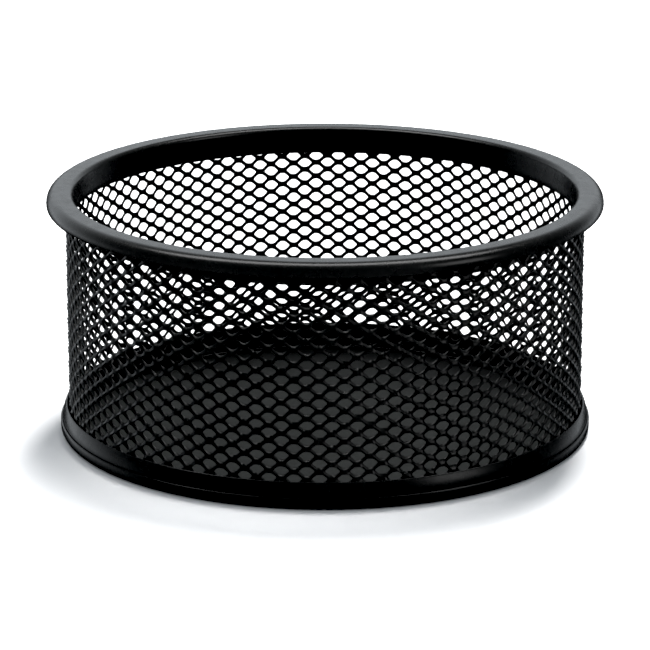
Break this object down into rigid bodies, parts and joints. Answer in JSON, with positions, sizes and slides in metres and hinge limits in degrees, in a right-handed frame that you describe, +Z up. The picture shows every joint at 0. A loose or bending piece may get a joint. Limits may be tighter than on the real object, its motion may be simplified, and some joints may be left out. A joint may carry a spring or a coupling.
{
  "type": "mesh desk cup",
  "caption": "Low round desk cup of black expanded-metal mesh with a rolled sheet-steel rim, a flared base ring and a solid floor.",
  "frame": {"origin": "on the desk, at the centre of the round foot", "axes": "+Z up along the cup's axis; the lap in the mesh is towards -X and a little towards +Y, and +Y is the far side in the usual view"},
  "size_m": [0.1038, 0.1038, 0.046],
  "materials": {
    "rim_coat": "satin black powder coat",
    "mesh_coat": "satin black powder coat",
    "ring_coat": "satin black powder coat",
    "floor_coat": "satin black powder coat",
    "weld_coat": "satin black powder coat over weld metal"
  },
  "bodies": {
    "root": {"top_rim": "rim_coat", "mesh_wall": "mesh_coat", "base_ring": "ring_coat", "floor_disc": "floor_coat", "rim_welds": "weld_coat", "base_welds": "weld_coat", "seam_welds": "weld_coat"}
  },
  "joints": []
}
